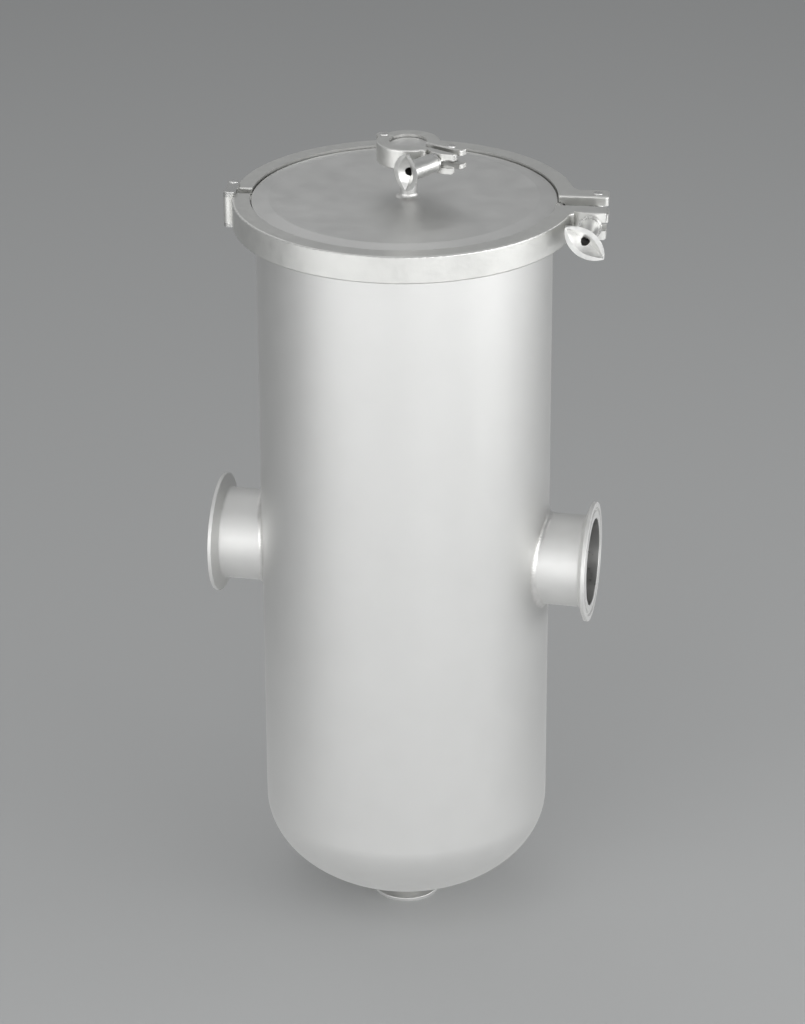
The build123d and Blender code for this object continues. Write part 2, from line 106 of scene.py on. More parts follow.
def soft_box(name, azimuth, height, distance, size, power):
    """A square lamp aimed at the middle of the object. Azimuth 0 is in front, 90 to the right."""
    turn_angle, lift = np.radians([azimuth, height])
    away = np.array([
        np.sin(turn_angle) * np.cos(lift), -np.cos(turn_angle) * np.cos(lift), np.sin(lift)
    ])
    lamp = bpy.data.lights.new(name, "AREA")
    lamp.size = size
    lamp.energy = power
    holder = bpy.data.objects.new(name, lamp)
    scene.collection.objects.link(holder)
    across = np.cross([0.0, 0.0, 1.0], away)
    across /= np.linalg.norm(across)
    axes = Matrix(np.column_stack([across, np.cross(away, across), away]).tolist()).to_4x4()
    holder.matrix_world = Matrix.Translation(object_middle + away * distance) @ axes


for azimuth, power in low_boxes:
    soft_box(f"soft_box_low_{azimuth}", azimuth, low_height, low_distance, low_size, power)
for name, azimuth, height, size, power in high_boxes:
    soft_box("soft_box_" + name, azimuth, height, high_distance, size, power)
print("soft boxes:", len(low_boxes) + len(high_boxes))

# %% [markdown]
# ## Joining nodes
# A material is a tree of nodes. These two helpers add the nodes that come back most often: one
# maps a range of values onto another, and one does a sum on a vector.

# %% Two helpers for node trees
def map_range(tree, value, from_range, to_range):
    """Maps a value linearly from one range onto another, and keeps it inside the second."""
    node = tree.nodes.new("ShaderNodeMapRange")
    for socket, number in zip(("From Min", "From Max", "To Min", "To Max"), (*from_range, *to_range)):
        node.inputs[socket].default_value = number
    tree.links.new(value, node.inputs["Value"])
    return node.outputs["Result"]


def vector_sum(tree, operation, vector, numbers=None):
    """A sum on a vector, with a second vector of fixed numbers where the sum needs one."""
    node = tree.nodes.new("ShaderNodeVectorMath")
    node.operation = operation
    if numbers is not None:
        node.inputs[1].default_value = numbers
    tree.links.new(vector, node.inputs[0])
    return node.outputs


# %% [markdown]
# ## Floor and world
# The floor is plain and pale and the world is a dim grey. In the steel, the floor just in front of
# the object shows a little brighter than it is. A glow on the floor that no lamp gives paints this
# reflection, so the dished bottom doesn't go dark. That glow fades with the distance from its
# middle, and only the rays that leave a glossy surface see it.

# %% Floor and world
floor_half_size = 9.0
floor_colour = (0.44, 0.445, 0.445, 1.0)
# Middle, fade range and strength of the glow that paints a brighter reflection of the floor into the
# steel.
glow_middle, glow_edge, reflection_glow = (0.0, -0.42, 0.0), (0.35, 1.05), 0.24
world_colour = (0.345, 0.349, 0.352, 1.0)

floor_mesh = bpy.data.meshes.new("studio_floor")
corners = np.array([[-1, -1, 0], [1, -1, 0], [1, 1, 0], [-1, 1, 0]]) * floor_half_size
floor_mesh.from_pydata(corners, [], [(0, 1, 2, 3)])
floor = bpy.data.objects.new("studio_floor", floor_mesh)
scene.collection.objects.link(floor)

floor_paint = bpy.data.materials.new("floor_paint")
floor_paint.use_nodes = True
floor_tree = floor_paint.node_tree
floor_shader = floor_tree.nodes["Principled BSDF"]
floor_shader.inputs["Base Color"].default_value = floor_colour
floor_shader.inputs["Roughness"].default_value = 0.8
floor_mesh.materials.append(floor_paint)

floor_place = floor_tree.nodes.new("ShaderNodeTexCoord").outputs["Object"]
from_glow_middle = vector_sum(floor_tree, "DISTANCE", floor_place, glow_middle)["Value"]
glow = floor_tree.nodes.new("ShaderNodeEmission")
glow_and_paint = floor_tree.nodes.new("ShaderNodeAddShader")
seen_by_ray = floor_tree.nodes.new("ShaderNodeMixShader")
ray = floor_tree.nodes.new("ShaderNodeLightPath")
output = floor_tree.nodes["Material Output"]
# Painted reflection: glossy rays see the floor's paint plus the glow, and other rays see only the
# paint.
for start, end in (
    (map_range(floor_tree, from_glow_middle, glow_edge, (reflection_glow, 0.0)), glow.inputs["Strength"]),
    (floor_shader.outputs["BSDF"], glow_and_paint.inputs[0]),
    (glow.outputs["Emission"], glow_and_paint.inputs[1]),
    (ray.outputs["Is Glossy Ray"], seen_by_ray.inputs["Fac"]),
    (floor_shader.outputs["BSDF"], seen_by_ray.inputs[1]),
    (glow_and_paint.outputs["Shader"], seen_by_ray.inputs[2]),
    (seen_by_ray.outputs["Shader"], output.inputs["Surface"]),
):
    floor_tree.links.new(start, end)

world = bpy.data.worlds.new("studio_world")
world.use_nodes = True
world.node_tree.nodes["Background"].inputs["Color"].default_value = world_colour
world.node_tree.nodes["Background"].inputs["Strength"].default_value = 1.0
scene.world = world
print("floor:", 2 * floor_half_size, "m wide; nodes in its paint:", len(floor_tree.nodes))

# %% [markdown]
# ## Finishes
# All the steel is satin, but not the same satin. The pot is blasted with glass beads: no direction,
# a very fine grain and faint clouds where the blasting was thicker. The nozzles are duller, and
# polished inside, where a darker tone is painted shade. The lid was turned first, so faint rings
# show through. The clamps are castings with a slightly lumpy skin. Noise textures draw all of this:
# they need no pictures, and read the place on the object in metres, so a pattern keeps its size on
# every piece. The near-black thread in a wing nut's hole is painted shade.

# %% Noise, its range, and a bump
def noise(tree, vector, scale, detail, roughness=0.55):
    """A noise texture at a scale given in repeats per metre."""
    node = tree.nodes.new("ShaderNodeTexNoise")
    node.inputs["Scale"].default_value = scale
    node.inputs["Detail"].default_value = detail
    node.inputs["Roughness"].default_value = roughness
    tree.links.new(vector, node.inputs["Vector"])
    return node.outputs["Fac"]


def spread(tree, value, low, high):
    """Maps a noise value, which keeps to about 0.3 to 0.7, onto a range."""
    return map_range(tree, value, (0.3, 0.7), (low, high))


def tilt(tree, height, size, normal=None):
    """A bump whose full height is size metres, on top of an earlier one where there is one."""
    node = tree.nodes.new("ShaderNodeBump")
    node.inputs["Distance"].default_value = size
    node.inputs["Strength"].default_value = 1.0
    tree.links.new(height, node.inputs["Height"])
    if normal is not None:
        tree.links.new(normal, node.inputs["Normal"])
    return node.outputs["Normal"]


# %% [markdown]
# A lathe leaves rings round its axis. Noise that only changes with the distance from that axis,
# and with the place along it, draws them.

# %% Turned rings
def ring_vector(tree, place, axis, centre):
    """The distance from a turning axis, and the place along it, as the X and Y of a vector."""
    shifted = vector_sum(tree, "SUBTRACT", place, centre)["Vector"]
    keep = [0.0 if letter == axis else 1.0 for letter in "XYZ"]
    flat = vector_sum(tree, "MULTIPLY", shifted, keep)["Vector"]
    parts = tree.nodes.new("ShaderNodeSeparateXYZ")
    tree.links.new(shifted, parts.inputs[0])
    joined = tree.nodes.new("ShaderNodeCombineXYZ")
    tree.links.new(vector_sum(tree, "LENGTH", flat)["Value"], joined.inputs["X"])
    tree.links.new(parts.outputs[axis], joined.inputs["Y"])
    return joined.outputs["Vector"]


# %% [markdown]
# One function makes every steel finish: clouds change the colour and the gloss a little, a fine
# grain tilts the surface, and lumps or rings are added where a piece has them.

# %% Satin steel
def steel(name, tone, gloss, cloud=(25.0, 0.06), grain=(1400.0, 0.00002), lump=None, rings=None):
    """Satin steel. gloss is the lowest and highest roughness; cloud, grain and lump are each a
    scale per metre and a strength; rings is a strength, an axis and a centre."""
    material = bpy.data.materials.new(name)
    material.use_nodes = True
    tree = material.node_tree
    shader = tree.nodes["Principled BSDF"]
    shader.inputs["Metallic"].default_value = 1.0
    place = tree.nodes.new("ShaderNodeTexCoord").outputs["Object"]
    clouds = noise(tree, place, cloud[0], 5.0, 0.6)
    blend = tree.nodes.new("ShaderNodeMix")
    blend.data_type = "RGBA"
    tone = np.array(tone)
    blend.inputs["A"].default_value = (*(tone * (1 - cloud[1])), 1.0)
    blend.inputs["B"].default_value = (*np.minimum(tone * (1 + cloud[1]), 1.0), 1.0)
    tree.links.new(spread(tree, clouds, 0.0, 1.0), blend.inputs["Factor"])
    tree.links.new(blend.outputs["Result"], shader.inputs["Base Color"])
    patches = noise(tree, place, cloud[0] * 4.0, 3.0)
    tree.links.new(spread(tree, patches, *gloss), shader.inputs["Roughness"])
    normal = tilt(tree, noise(tree, place, grain[0], 2.0), grain[1])
    if lump:
        normal = tilt(tree, noise(tree, place, lump[0], 3.0), lump[1], normal)
    if rings:
        vector = ring_vector(tree, place, rings[1], rings[2])
        normal = tilt(tree, noise(tree, vector, 900.0, 4.0, 0.7), rings[0], normal)
    tree.links.new(normal, shader.inputs["Normal"])
    return material


# %% [markdown]
# The finishes differ in tone, in gloss and in what lies on the skin. Roughness 0.2 still mirrors,
# and 0.6 hardly does.

# %% The steel finishes
white_steel = (0.70, 0.70, 0.69)
lid_axis = (0.0, 0.0, 0.0)
nozzle_axis = (0.0, 0.0, 0.300)
finishes = {
    "blasted": steel("bead_blasted_steel", white_steel, (0.445, 0.465), (18.0, 0.012),
                     (1100.0, 0.000035)),
    "turned": steel("turned_ferrule_steel", white_steel, (0.58, 0.64), (40.0, 0.03),
                    rings=(0.000006, "X", nozzle_axis)),
    # Darker than the pot's steel: painted shade in the nozzles' bores, on a real polish.
    "bore": steel("polished_bore_steel_painted_shade", (0.62, 0.62, 0.61), (0.27, 0.36), (30.0, 0.08)),
    "lid": steel("turned_lid_steel", (0.66, 0.66, 0.65), (0.45, 0.54), (14.0, 0.05),
                 rings=(0.00001, "Z", lid_axis)),
    "cast": steel("cast_clamp_steel", (0.71, 0.71, 0.69), (0.34, 0.42), (60.0, 0.03),
                  lump=(420.0, 0.00005)),
    "nut": steel("cast_nut_steel", (0.74, 0.74, 0.725), (0.30, 0.40), (90.0, 0.06),
                 lump=(520.0, 0.00008)),
    "fastener": steel("machined_steel", (0.66, 0.66, 0.65), (0.22, 0.30), (120.0, 0.05)),
    "weld": steel("dressed_weld_steel", (0.72, 0.715, 0.70), (0.34, 0.44), (200.0, 0.08),
                  lump=(700.0, 0.00006)),
    "plate": steel("rolled_plate_steel", (0.64, 0.64, 0.63), (0.30, 0.38)),
    # Near black: painted shade in a wing nut's hole.
    "thread": steel("thread_painted_shade_steel", (0.16, 0.155, 0.15), (0.35, 0.50), (300.0, 0.2)),
}
print("steel finishes:", len(finishes))

# %% [markdown]
# The gaskets are white silicone rubber: hardly any gloss, a slight yellowing in clouds and a
# powdery skin.

# %% Silicone rubber
def silicone():
    """Matt rubber with soft colour clouds and a fine powdery bump."""
    material = bpy.data.materials.new("silicone_rubber")
    material.use_nodes = True
    tree = material.node_tree
    shader = tree.nodes["Principled BSDF"]
    place = tree.nodes.new("ShaderNodeTexCoord").outputs["Object"]
    blend = tree.nodes.new("ShaderNodeMix")
    blend.data_type = "RGBA"
    blend.inputs["A"].default_value = (0.80, 0.79, 0.75, 1.0)
    blend.inputs["B"].default_value = (0.86, 0.86, 0.84, 1.0)
    tree.links.new(spread(tree, noise(tree, place, 80.0, 3.0), 0.0, 1.0), blend.inputs["Factor"])
    tree.links.new(blend.outputs["Result"], shader.inputs["Base Color"])
    patches = noise(tree, place, 300.0, 2.0)
    tree.links.new(spread(tree, patches, 0.55, 0.7), shader.inputs["Roughness"])
    tree.links.new(tilt(tree, noise(tree, place, 2500.0, 2.0), 0.00002), shader.inputs["Normal"])
    return material


finishes["silicone"] = silicone()

# %% [markdown]
# ## From arrays to pieces
# Each surface is a grid of points: rows and columns of an array. Faces join each point to its
# neighbours, and where the surface closes on itself the last row meets the first again. Points
# that fall together, as at the pole of a turned shape, are merged, and their faces become
# triangles.

# %% Faces of a grid, and points that fall together
def lattice(rows, columns, close_rows=True):
    """Four-cornered faces between neighbouring points of a grid whose columns close in a ring."""
    row = np.arange(rows if close_rows else rows - 1)[:, None]
    column = np.arange(columns)[None, :]
    next_row, next_column = (row + 1) % rows, (column + 1) % columns
    faces = [
        row * columns + column, row * columns + next_column,
        next_row * columns + next_column, next_row * columns + column,
    ]
    return np.stack(faces, -1).reshape(-1, 4)


def merge_points(points, quads):
    """Points that fall together become one; faces that lose a corner become triangles."""
    keys = np.round(points / 1e-6).astype(np.int64)
    _, first, same = np.unique(keys, axis=0, return_index=True, return_inverse=True)
    quads = same.reshape(-1)[quads]
    doubled = quads == np.roll(quads, -1, axis=1)
    lost = doubled.sum(1)
    short = quads[lost == 1]
    start = doubled[lost == 1].argmax(1)[:, None]
    triangles = short[np.arange(len(short))[:, None], (start + np.array([1, 2, 3])) % 4]
    return points[first], quads[lost == 0], triangles


# %% [markdown]
# The signed volume of a closed surface tells which way its faces look: if it is negative, every
# face is turned round.

# %% Faces that look outwards
def signed_volume(points, quads, triangles):
    """A sixth of the sum of a . (b x c) over every triangle: positive when faces look outwards."""
    corners = np.concatenate([quads[:, [0, 1, 2]], quads[:, [0, 2, 3]], triangles])
    a, b, c = (points[corners[:, k]] for k in range(3))
    return float((a * np.cross(b, c)).sum() / 6)


def outwards(points, quads):
    """One closed surface with its points merged and all its faces looking outwards."""
    points, quads, triangles = merge_points(np.asarray(points, float).reshape(-1, 3), quads)
    if signed_volume(points, quads, triangles) < 0:
        quads, triangles = quads[:, ::-1], triangles[:, ::-1]
    return points, quads, triangles


# %% [markdown]
# A piece is a mesh with a finish. It rides on a body of the frame, so it moves with that body, and
# it stands for the CAD nodes that it replaces.

# %% Pieces
def make_piece(name, surfaces, body, finish, stands_for, crease=32.0):
    """Joins closed surfaces, given in millimetres, into one piece that rides on a body."""
    points, faces, count = [], [], 0
    for surface in surfaces:
        corner_points, quads, triangles = outwards(*surface)
        points.append(corner_points * MM)
        faces += (quads + count).tolist() + (triangles + count).tolist()
        count += len(corner_points)
    mesh = bpy.data.meshes.new(name)
    mesh.from_pydata(np.concatenate(points), [], faces)
    mesh.polygons.foreach_set("use_smooth", np.ones(len(mesh.polygons), bool))
    mesh.set_sharp_from_angle(angle=np.radians(crease))
    mesh.materials.append(finishes[finish])
    piece = bpy.data.objects.new(name, mesh)
    scene.collection.objects.link(piece)
    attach(piece, body)
    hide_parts(*stands_for)
    print(f"{name}: {len(mesh.polygons)} faces")
    return piece


# %% [markdown]
# Nothing made of metal has a mathematically sharp edge, and it is the small round on an edge that
# catches the light. So outlines are given by their corners and a radius for each, and the arcs
# are worked out. Two guard points beside each arc keep the shading of the flats flat.

# %% Outlines with rounded corners, and turning them
def unit(vectors):
    """Vectors of length 1 in the same directions. A vector of length 0 stays as it is."""
    length = np.linalg.norm(vectors, axis=-1, keepdims=True)
    return vectors / np.where(length > 0, length, 1)


def rounded(corners, radii, steps=4):
    """A closed outline. Each corner is cut back by radius / tan(half its angle) on both sides;
    the arc's centre is radius / sin(half the angle) along the bisector, and its points are the
    directions from that centre, blended and made unit length again."""
    corners = np.asarray(corners, float)
    radii = np.broadcast_to(np.asarray(radii, float), len(corners))[:, None]
    back = unit(np.roll(corners, 1, 0) - corners)
    ahead = unit(np.roll(corners, -1, 0) - corners)
    half = np.arccos(np.clip((back * ahead).sum(1, keepdims=True), -1, 1)) / 2
    cut = radii / np.tan(half)
    centre = corners + unit(back + ahead) * radii / np.sin(half)
    start, end = corners + back * cut, corners + ahead * cut
    share = np.linspace(0, 1, steps + 1)[:, None, None]
    arc = centre + radii * unit((start - centre) * (1 - share) + (end - centre) * share)
    guard = radii * 0.5
    loop = np.concatenate([[start + back * guard], arc, [end + ahead * guard]])
    return loop.transpose(1, 0, 2).reshape(-1, 2)


def turned(outline, segments=160, shift=0.0):
    """Carries a closed (radius, height) outline round Z. shift moves each point's circle in X."""
    angle = np.linspace(0, 2 * np.pi, segments, endpoint=False)
    radius, height = outline[:, :1], outline[:, 1:]
    x = radius * np.cos(angle) + np.broadcast_to(shift, len(outline))[:, None]
    points = np.stack([x, radius * np.sin(angle), height + 0 * angle], -1)
    return points.reshape(-1, 3), lattice(len(outline), segments)


def placed(surface, origin=(0, 0, 0), x_axis=(1, 0, 0), z_axis=(0, 0, 1)):
    """Puts a surface into a frame whose X and Z axes are given."""
    points, quads = surface
    x_axis, z_axis = np.array(x_axis, float), np.array(z_axis, float)
    axes = np.stack([x_axis, np.cross(z_axis, x_axis), z_axis])
    return points @ axes + np.array(origin, float), quads


# %% [markdown]
# ## The pot's wall
# The wall is a rolled sheet, 3 mm thick, with a round hole on each side for the inlet and outlet.
# A plain grid on a cylinder has no round holes. So a square patch of the grid is taken out at each
# side, and the gap between the square and the circle is filled with rings that change from one to
# the other. The same grid is laid on the outer and on the inner radius, and strips join the two
# along the top, the bottom and the holes.

# %% Rows of the wall's grid, and the square patch round a hole
shell_radius, shell_wall = 109.55, 3.0
tangent_height, shell_top = 91.3, 547.2
nozzle_height, nozzle_bore = 300.0, 33.0
columns, rows_below, rows_above = 192, 25, 33
patch_half, patch_rings, patch_reach = 16, 9, 56.0


def shell_rows():
    """Heights of the grid's rows, with the patch's own rows in the middle."""
    patch_low, patch_high = nozzle_height - patch_reach, nozzle_height + patch_reach
    below = np.linspace(tangent_height, patch_low, rows_below + 1)[:-1]
    across = np.linspace(patch_low, patch_high, 2 * patch_half + 1)
    above = np.linspace(patch_high, shell_top, rows_above + 1)[1:]
    return np.concatenate([below, across, above]), len(below)


def patch_border(first_row, middle_column):
    """Row and column of every grid point round a square patch, in order."""
    side = np.arange(2 * patch_half)
    rows = np.concatenate([0 * side, side, 0 * side + 2 * patch_half, 2 * patch_half - side])
    cols = np.concatenate([side, 0 * side + 2 * patch_half, 2 * patch_half - side, 0 * side])
    return rows + first_row, (cols - patch_half + middle_column) % columns


print("rows in the wall's grid:", len(shell_rows()[0]))

# %% [markdown]
# Each hole is round when one looks along its nozzle. A point of its edge in direction d is at the
# height bore sin d, and at the angle arcsin(bore cos d / radius) round the shell.

# %% One sheet of the wall
def shell_sheet(radius):
    """The wall's points at one radius, its faces, and the point numbers round each edge."""
    heights, first_row = shell_rows()
    turn_angle = np.arange(columns) * 2 * np.pi / columns
    grid = np.stack(np.meshgrid(heights, turn_angle, indexing="ij"), -1).reshape(-1, 2)
    quads = lattice(len(heights), columns, close_rows=False)
    edges = [np.arange(columns), np.arange(columns) + (len(heights) - 1) * columns]
    keep, patches = np.ones(len(quads), bool), []
    row, column = np.divmod(np.arange(len(quads)), columns)
    for middle in (0, columns // 2):
        offset = (column - middle + patch_half) % columns
        inside = (row >= first_row) & (row < first_row + 2 * patch_half) & (offset < 2 * patch_half)
        keep &= ~inside
        rows, cols = patch_border(first_row, middle)
        border = rows * columns + cols
        angle_out = (turn_angle[cols] - turn_angle[middle] + np.pi) % (2 * np.pi) - np.pi
        height_out = heights[rows] - nozzle_height
        direction = np.arctan2(height_out, angle_out * radius)
        angle_in = np.arcsin(nozzle_bore * np.cos(direction) / radius)
        share = np.linspace(0, 1, patch_rings + 1)[:-1, None]
        angle = angle_in * (1 - share) + angle_out * share + turn_angle[middle]
        height = nozzle_bore * np.sin(direction) * (1 - share) + height_out * share + nozzle_height
        rings = len(grid) + np.arange(patch_rings * len(border)).reshape(patch_rings, -1)
        grid = np.concatenate([grid, np.stack([height, angle], -1).reshape(-1, 2)])
        table = np.concatenate([rings, border[None]]).reshape(-1)
        patches.append(table[lattice(patch_rings + 1, len(border), False)])
        edges.append(rings[0])
    height, angle = grid.T
    points = np.stack([radius * np.cos(angle), radius * np.sin(angle), height], -1)
    return points, np.concatenate([quads[keep], *patches]), edges


# %% [markdown]
# The inner sheet has the same faces turned round. The strips follow each edge: all run the same
# way, apart from the one at the top, which looks the other way.

# %% Shell tube
outer_points, sheet_quads, sheet_edges = shell_sheet(shell_radius)
inner_points = shell_sheet(shell_radius - shell_wall)[0]
inner_start, top_edge = len(outer_points), 1
shell_faces = [sheet_quads, sheet_quads[:, ::-1] + inner_start]
for number, edge in enumerate(sheet_edges):
    onward = np.roll(edge, -1)
    strip = np.stack([edge, onward, onward + inner_start, edge + inner_start], -1)
    shell_faces.append(strip if number == top_edge else strip[:, ::-1])
shell_surface = (np.concatenate([outer_points, inner_points]), np.concatenate(shell_faces))
make_piece("shell_tube_wall", [shell_surface], "vessel", "blasted", ["shell_tube"])

# %% [markdown]
# ## The dished bottom
# The bottom is half of an ellipsoid, pressed from one disc. Its outline is two quarter ellipses,
# the outer and the inner, cut off at the drain's bore and turned about the axis. Equal steps of
# the ellipse's angle put more points near its edge, where the outline bends hardest.

# %% Bottom head
head_depth, drain_bore = 72.3, 13.0


def quarter_ellipse(radius, depth, bore, count=44):
    """Points from the straight wall down to the bore: radius cos a, depth sin a."""
    angle = np.linspace(0, np.arccos(bore / radius), count)
    return np.stack([radius * np.cos(angle), tangent_height - depth * np.sin(angle)], -1)


head_outline = np.concatenate([
    quarter_ellipse(shell_radius, head_depth, drain_bore),
    quarter_ellipse(shell_radius - shell_wall, head_depth - shell_wall, drain_bore)[::-1],
])
make_piece("dished_bottom", [turned(head_outline, columns)], "vessel", "blasted",
           ["bottom_head"])

# %% [markdown]
# ## Ferrules
# A ferrule is the flared collar of a clamped pipe joint: a flat sealing face with a round groove
# for the gasket's rib, a thin rim, and a tapered back for the clamp to press on. One outline makes
# all of them. It is drawn with its sealing face at height 0 and turned about its own axis.

# %% A ferrule's outline, and the top ferrule
taper = np.tan(np.radians(20.0))
groove_radius = 1.5


def groove_points(radius, count=9):
    """A half circle cut into the sealing face."""
    angle = np.linspace(0, np.pi, count)
    return np.stack([radius - groove_radius * np.cos(angle), -groove_radius * np.sin(angle)], -1)


def ferrule_outline(rim, edge, tube, wall, length, bead):
    """The half section of a ferrule, from the bore's corner round the rim and back."""
    foot = -edge - (rim - tube) * taper
    face = rounded([(tube - wall, 0), (rim, 0), (rim, -edge), (tube, foot), (tube, -length),
                    (tube - wall, -length)], [0.3, 0.5, 0.5, 2.0, 0.05, 0.05])
    count = len(face) // 6
    return np.concatenate([face[:count], groove_points(bead), face[count:]])


lid_rim, lid_edge, top_face = 116.75, 3.15, 573.2
top_outline = ferrule_outline(lid_rim, lid_edge, shell_radius, shell_wall, length=26.0, bead=111.0)
make_piece("top_rim", [placed(turned(top_outline, columns), (0, 0, top_face))], "vessel",
           "blasted", ["top_ferrule"])

# %% [markdown]
# The two nozzle ferrules lie on their sides, with their sealing faces outwards. Inside they are
# polished and a little darker, as painted shade, so the faces near the nozzle's axis get a second
# finish.

# %% Ferrules of the inlet, the outlet and the vent
nozzle_radius, nozzle_reach, small_edge, small_length = 35.0, 145.0, 2.85, 21.5
nozzle_outline = ferrule_outline(rim=45.5, edge=small_edge, tube=nozzle_radius,
                                 wall=nozzle_radius - nozzle_bore, length=small_length, bead=40.0)


def polish_and_shade_bore(piece):
    """Gives the faces on the nozzle's bore the polished finish, darker as painted shade: those near
    its axis.
    """
    centres = np.array([face.center for face in piece.data.polygons]) / MM
    in_shaded_bore = np.hypot(centres[:, 1], centres[:, 2] - nozzle_height) < nozzle_bore + 0.15
    piece.data.materials.append(finishes["bore"])
    piece.data.polygons.foreach_set("material_index", in_shaded_bore.astype(np.int32))
    print(f"{piece.name}: {in_shaded_bore.sum()} faces in the bore")


for side, sign in (("outlet", 1), ("inlet", -1)):
    collar = placed(turned(nozzle_outline, 128), (sign * nozzle_reach, 0, nozzle_height),
                    (0, 0, 1), (sign, 0, 0))
    polish_and_shade_bore(make_piece(side + "_collar", [collar], "vessel", "turned",
                           [side + "_ferrule"]))

vent_x, vent_face, vent_rim, vent_radius, vent_bore = 3.2, 619.03, 17.0, 6.5, 5.0
vent_outline = ferrule_outline(vent_rim, small_edge, vent_radius, vent_radius - vent_bore,
                               length=small_length, bead=13.75)
make_piece("vent_collar", [placed(turned(vent_outline, 96), (vent_x, 0, vent_face))], "vessel",
           "blasted", ["vent_ferrule"])

# %% [markdown]
# ## Inlet and outlet tubes
# Each tube is cut to a saddle that fits the shell. At an angle t round the tube, the shell's
# surface is at x = sqrt(R² - (r cos t)²), so the tube's rows run from there to the ferrule.

# %% Nozzle tubes
ferrule_start = nozzle_reach - small_length


def saddle(radius, angle):
    """How far out the shell's surface lies, round a tube of this radius."""
    return np.sqrt(shell_radius ** 2 - (radius * np.cos(angle)) ** 2)


def nozzle_tube_surface(sign, segments=128, rows=7):
    """The tube's outer and inner wall as one closed loop of rows."""
    angle = np.linspace(0, 2 * np.pi, segments, endpoint=False)
    share = np.linspace(0, 1, rows)[:, None]
    walls = []
    for radius, order in ((nozzle_radius, 1), (nozzle_bore, -1)):
        x = saddle(radius, angle) * (1 - share) + ferrule_start * share
        y = radius * np.cos(angle) + 0 * share
        z = radius * np.sin(angle) + nozzle_height + 0 * share
        walls.append(np.stack([sign * x, sign * y, z], -1)[::order])
    return np.concatenate(walls).reshape(-1, 3), lattice(2 * rows, segments)


print("ferrules start at", ferrule_start, "mm")

# %% [markdown]
# The weld is the surface that a ball would touch when it rolls round the corner between the tube
# and the shell: the ball's centre keeps its distance from both axes, and the bead's section is the
# arc between its two touching points. Small ripples along the bead are what the welder's pauses
# leave. One more row, a little inside the metal, closes the bead.

# %% Nozzle welds, and both nozzles' pieces
weld_ball, weld_root = 4.0, 0.3


def rolled_bead(sign, segments=420, steps=8, ripples=105, ripple_height=0.14):
    """The concave bead: the arc between a rolling ball's touching points, less a ripple."""
    angle = np.linspace(0, 2 * np.pi, segments, endpoint=False)
    out, tube = shell_radius + weld_ball, nozzle_radius + weld_ball
    centre = np.stack([np.sqrt(out ** 2 - (tube * np.cos(angle)) ** 2), tube * np.cos(angle),
                       tube * np.sin(angle)], -1)
    on_shell = centre * [shell_radius / out, shell_radius / out, 1]
    on_tube = centre * [1, nozzle_radius / tube, nozzle_radius / tube]
    root = nozzle_radius - weld_root
    corner = np.stack([saddle(nozzle_radius, angle) - weld_root, root * np.cos(angle),
                       root * np.sin(angle)], -1)
    share = np.linspace(0, 1, steps + 1)[:, None, None]
    aim = unit((on_shell - centre) * (1 - share) + (on_tube - centre) * share)
    wave = 0.5 + 0.5 * np.sin(ripples * angle + 2.2 * np.abs(share[..., 0] - 0.5))
    depth = weld_ball - ripple_height * wave * np.sin(np.pi * share[..., 0])
    rows = np.concatenate([centre + aim * depth[..., None], [corner]])
    rows = rows * [sign, sign, 1] + [0, 0, nozzle_height]
    return rows.reshape(-1, 3), lattice(len(rows), segments)


for side, sign in (("outlet", 1), ("inlet", -1)):
    polish_and_shade_bore(make_piece(side + "_pipe", [nozzle_tube_surface(sign)], "vessel", "turned",
                           [side + "_tube"]))
    make_piece(side + "_bead", [rolled_bead(sign)], "vessel", "weld", [side + "_weld"])

# %% [markdown]
# ## The lid
# The lid is a turned disc. Its flat top ends in a shallow shoulder that drops to the clamp's lip
# with a gap of a millimetre, and below that is the tapered rim that the clamp presses on. The vent
# hole is a little off the lid's centre, so the circles of the flat drift: at the hole they share
# the vent's centre, and at the flat's edge they share the lid's.

# %% Lid
lid_low, lid_thick, lid_flat, lid_shoulder, shoulder_drop = 575.2, 9.43, 99.5, 112.3, 1.9
lid_outline = rounded(
    [(vent_bore, 0), (lid_rim, 0), (lid_rim, lid_edge),
     (lid_shoulder, lid_edge + (lid_rim - lid_shoulder) * taper),
     (lid_shoulder, lid_thick - shoulder_drop), (lid_flat, lid_thick), (vent_bore, lid_thick)],
    [0.3, 0.5, 0.5, 0.4, 0.6, 2.5, 0.3],
)
lid_shift = vent_x * np.clip((lid_flat - lid_outline[:, 0]) / (lid_flat - vent_bore), 0, 1)
lid_surface = placed(turned(lid_outline, columns, lid_shift), (0, 0, lid_low))
make_piece("lid_disc", [lid_surface], "vessel", "lid", ["lid"])

# %% [markdown]
# ## Vent, drain and their welds
# The same turning makes the vent's tube and its blank cap, and the drain's ferrule. Their welds
# are turned too, with ripples round them.

# %% A small rippled weld
def small_bead(radius, size, low, rise, segments=160, ripples=26, ripple_height=0.12):
    """A rippled fillet bead round an upright tube: rise is +1 upwards from a plate, -1 down."""
    angle = np.linspace(0, 2 * np.pi, segments, endpoint=False)
    bend = np.linspace(0, np.pi / 2, 7)[:, None]
    wave = ripple_height * (0.5 + 0.5 * np.sin(ripples * angle)) * np.sin(2 * bend)
    reach = radius + size - (size - wave) * np.sin(bend)
    height = low + rise * (size - (size - wave) * np.cos(bend))
    inner = np.stack([(radius - 0.2) * np.cos(angle), (radius - 0.2) * np.sin(angle),
                      0 * angle + low - 0.2 * rise], -1)
    rows = np.stack([reach * np.cos(angle), reach * np.sin(angle), height], -1)
    return np.concatenate([rows, [inner]]).reshape(-1, 3), lattice(8, segments)


